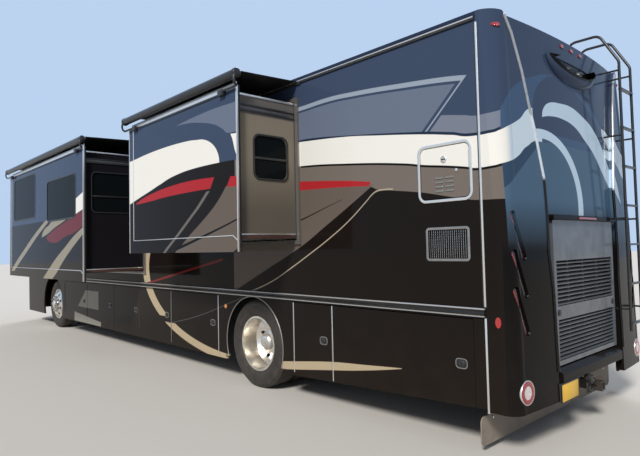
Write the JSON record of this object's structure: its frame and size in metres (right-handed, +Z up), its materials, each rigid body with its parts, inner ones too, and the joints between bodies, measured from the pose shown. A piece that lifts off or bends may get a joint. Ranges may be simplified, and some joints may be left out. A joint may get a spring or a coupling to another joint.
{
  "type": "class a motorhome",
  "caption": "Large rear-engined motorhome with slide-out rooms and roller awnings on its left side, skirt storage doors and twin rear wheels.",
  "frame": {"origin": "middle of the overall box at ground level", "axes": "+X forward, +Y to the left, +Z up"},
  "size_m": [12.3878, 3.8518, 3.735],
  "materials": {
    "blue_body": "gloss clear-coated paint in slate blue with pale graphics",
    "dark_body": "gloss clear-coated near-black paint",
    "louvre_dark": "satin slate paint",
    "tyre": "matt black rubber",
    "polished_wheel": "polished",
    "glass": "dark tinted",
    "awning_cloth": "black woven vinyl cloth",
    "roller_black": "black powder coat",
    "bright_trim": "bright anodised",
    "chassis_steel": "black chassis paint",
    "cream_plastic": "weathered cream shroud",
    "grey_guard": "dusty grey sheet",
    "lamp_lens": "moulded lenses",
    "cab_trim": "soft trim",
    "bay_lining": "grey bay lining",
    "white_roof": "white moulded panel"
  },
  "bodies": {
    "coach": {"front_cap": "blue_body", "rear_cap": "blue_body", "left_wall": "blue_body", "right_wall": "blue_body", "rear_wall": "blue_body", "floor": "bay_lining", "roof": "white_roof", "left_skirt": "dark_body", "right_skirt": "dark_body", "rub_rails": "bright_trim", "storage_bays": "bay_lining", "chassis": "chassis_steel", "hitch": "chassis_steel", "engine": "chassis_steel", "radiator": "chassis_steel", "rear_axle": "chassis_steel", "front_axle": "chassis_steel", "glass": "glass", "roof_units": "cream_plastic", "ladder": "bright_trim", "mirrors": "dark_body", "patio_awning": "white_roof", "mud_guard": "grey_guard", "cab_fittings": "cab_trim", "entry_steps": "bay_lining", "lamps": "lamp_lens"},
    "rear_slide_room": {"rear_slide": "blue_body", "rear_slide_glass": "glass", "rear_slide_roller": "roller_black", "rear_slide_awning": "awning_cloth"},
    "front_slide_room": {"front_slide": "blue_body", "front_slide_glass": "glass", "front_slide_roller": "roller_black", "front_slide_awning": "awning_cloth"},
    "left_steer": {"left_knuckle": "chassis_steel"},
    "right_steer": {"right_knuckle": "chassis_steel"},
    "front_left_roll": {"front_left_tyre": "tyre", "front_left_wheel": "polished_wheel"},
    "front_right_roll": {"front_right_tyre": "tyre", "front_right_wheel": "polished_wheel"},
    "rear_left_roll": {"rear_left_tyres": "tyre", "rear_left_wheels": "polished_wheel"},
    "rear_right_roll": {"rear_right_tyres": "tyre", "rear_right_wheels": "polished_wheel"},
    "entry": {"entry_door": "dark_body", "entry_door_glass": "glass"},
    "engine_hood": {"engine_door": "louvre_dark"},
    "hatch": {"service_hatch": "blue_body"},
    "left_door_1": {"left_door_1": "dark_body"},
    "left_door_2": {"left_door_2": "dark_body"},
    "left_door_3": {"left_door_3": "dark_body"},
    "left_door_4": {"left_door_4": "dark_body"},
    "left_door_5": {"left_door_5": "dark_body"},
    "left_door_6": {"left_door_6": "dark_body"},
    "left_door_7": {"left_door_7": "dark_body"},
    "right_door_1": {"right_door_1": "dark_body"},
    "right_door_2": {"right_door_2": "dark_body"},
    "right_door_3": {"right_door_3": "dark_body"},
    "right_door_4": {"right_door_4": "dark_body"}
  },
  "joints": [
    {"name": "rear_slide_travel", "type": "slide", "parent": "coach", "child": "rear_slide_room", "axis": [0, 1, 0], "range_m": [-0.68, 0], "deforming": ["rear_slide_awning"]},
    {"name": "front_slide_travel", "type": "slide", "parent": "coach", "child": "front_slide_room", "axis": [0, 1, 0], "range_m": [-0.83, 0], "deforming": ["front_slide_awning"]},
    {"name": "left_steering", "type": "hinge", "parent": "coach", "child": "left_steer", "pos_m": [4.004, 0.527, 0.48], "axis": [0, 0, 1], "range_deg": [-45, 45]},
    {"name": "front_left_wheel_spin", "type": "hinge", "parent": "left_steer", "child": "front_left_roll", "pos_m": [4.004, 0.707, 0.48], "axis": [0, 1, 0], "continuous": true},
    {"name": "rear_left_wheel_spin", "type": "hinge", "parent": "coach", "child": "rear_left_roll", "pos_m": [-3.006, 0.759, 0.48], "axis": [0, 1, 0], "continuous": true},
    {"name": "right_steering", "type": "hinge", "parent": "coach", "child": "right_steer", "pos_m": [4.004, -1.233, 0.48], "axis": [0, 0, 1], "range_deg": [-45, 45]},
    {"name": "front_right_wheel_spin", "type": "hinge", "parent": "right_steer", "child": "front_right_roll", "pos_m": [4.004, -1.413, 0.48], "axis": [0, 1, 0], "continuous": true},
    {"name": "rear_right_wheel_spin", "type": "hinge", "parent": "coach", "child": "rear_right_roll", "pos_m": [-3.006, -1.465, 0.48], "axis": [0, 1, 0], "continuous": true},
    {"name": "left_door_1_hinge", "type": "hinge", "parent": "coach", "child": "left_door_1", "pos_m": [-4.2585, 0.932, 0.66], "axis": [0, 0, -1], "range_deg": [0, 100]},
    {"name": "left_door_2_hinge", "type": "hinge", "parent": "coach", "child": "left_door_2", "pos_m": [-3.6985, 0.932, 0.66], "axis": [0, 0, -1], "range_deg": [0, 100]},
    {"name": "left_door_3_hinge", "type": "hinge", "parent": "coach", "child": "left_door_3", "pos_m": [-1.1185, 0.932, 0.66], "axis": [0, 0, -1], "range_deg": [0, 100]},
    {"name": "left_door_4_hinge", "type": "hinge", "parent": "coach", "child": "left_door_4", "pos_m": [-0.1085, 0.932, 0.66], "axis": [0, 0, -1], "range_deg": [0, 100]},
    {"name": "left_door_5_hinge", "type": "hinge", "parent": "coach", "child": "left_door_5", "pos_m": [0.8615, 0.932, 0.66], "axis": [0, 0, -1], "range_deg": [0, 100]},
    {"name": "left_door_6_hinge", "type": "hinge", "parent": "coach", "child": "left_door_6", "pos_m": [2.0615, 0.932, 0.66], "axis": [0, 0, -1], "range_deg": [0, 100]},
    {"name": "left_door_7_hinge", "type": "hinge", "parent": "coach", "child": "left_door_7", "pos_m": [3.2615, 0.932, 0.66], "axis": [0, 0, -1], "range_deg": [0, 100]},
    {"name": "right_door_1_hinge", "type": "hinge", "parent": "coach", "child": "right_door_1", "pos_m": [-4.2585, -1.638, 0.66], "axis": [0, 0, 1], "range_deg": [0, 100]},
    {"name": "right_door_2_hinge", "type": "hinge", "parent": "coach", "child": "right_door_2", "pos_m": [-1.1185, -1.638, 0.66], "axis": [0, 0, 1], "range_deg": [0, 100]},
    {"name": "right_door_3_hinge", "type": "hinge", "parent": "coach", "child": "right_door_3", "pos_m": [-0.1085, -1.638, 0.66], "axis": [0, 0, 1], "range_deg": [0, 100]},
    {"name": "right_door_4_hinge", "type": "hinge", "parent": "coach", "child": "right_door_4", "pos_m": [2.0615, -1.638, 0.66], "axis": [0, 0, 1], "range_deg": [0, 100]},
    {"name": "entry_door_hinge", "type": "hinge", "parent": "coach", "child": "entry", "pos_m": [5.4345, -1.638, 1.64], "axis": [0, 0, 1], "range_deg": [0, 100]},
    {"name": "engine_door_hinge", "type": "hinge", "parent": "coach", "child": "engine_hood", "pos_m": [-6.073, -0.353, 1.706], "axis": [0, 1, 0], "range_deg": [0, 80]},
    {"name": "service_hatch_hinge", "type": "hinge", "parent": "coach", "child": "hatch", "pos_m": [-5.7635, 0.932, 2.0875], "axis": [0, 0, 1], "range_deg": [0, 100]}
  ],
  "couplings": [
    {"joint": "right_steering", "follows": "left_steering", "ratio": 1}
  ]
}
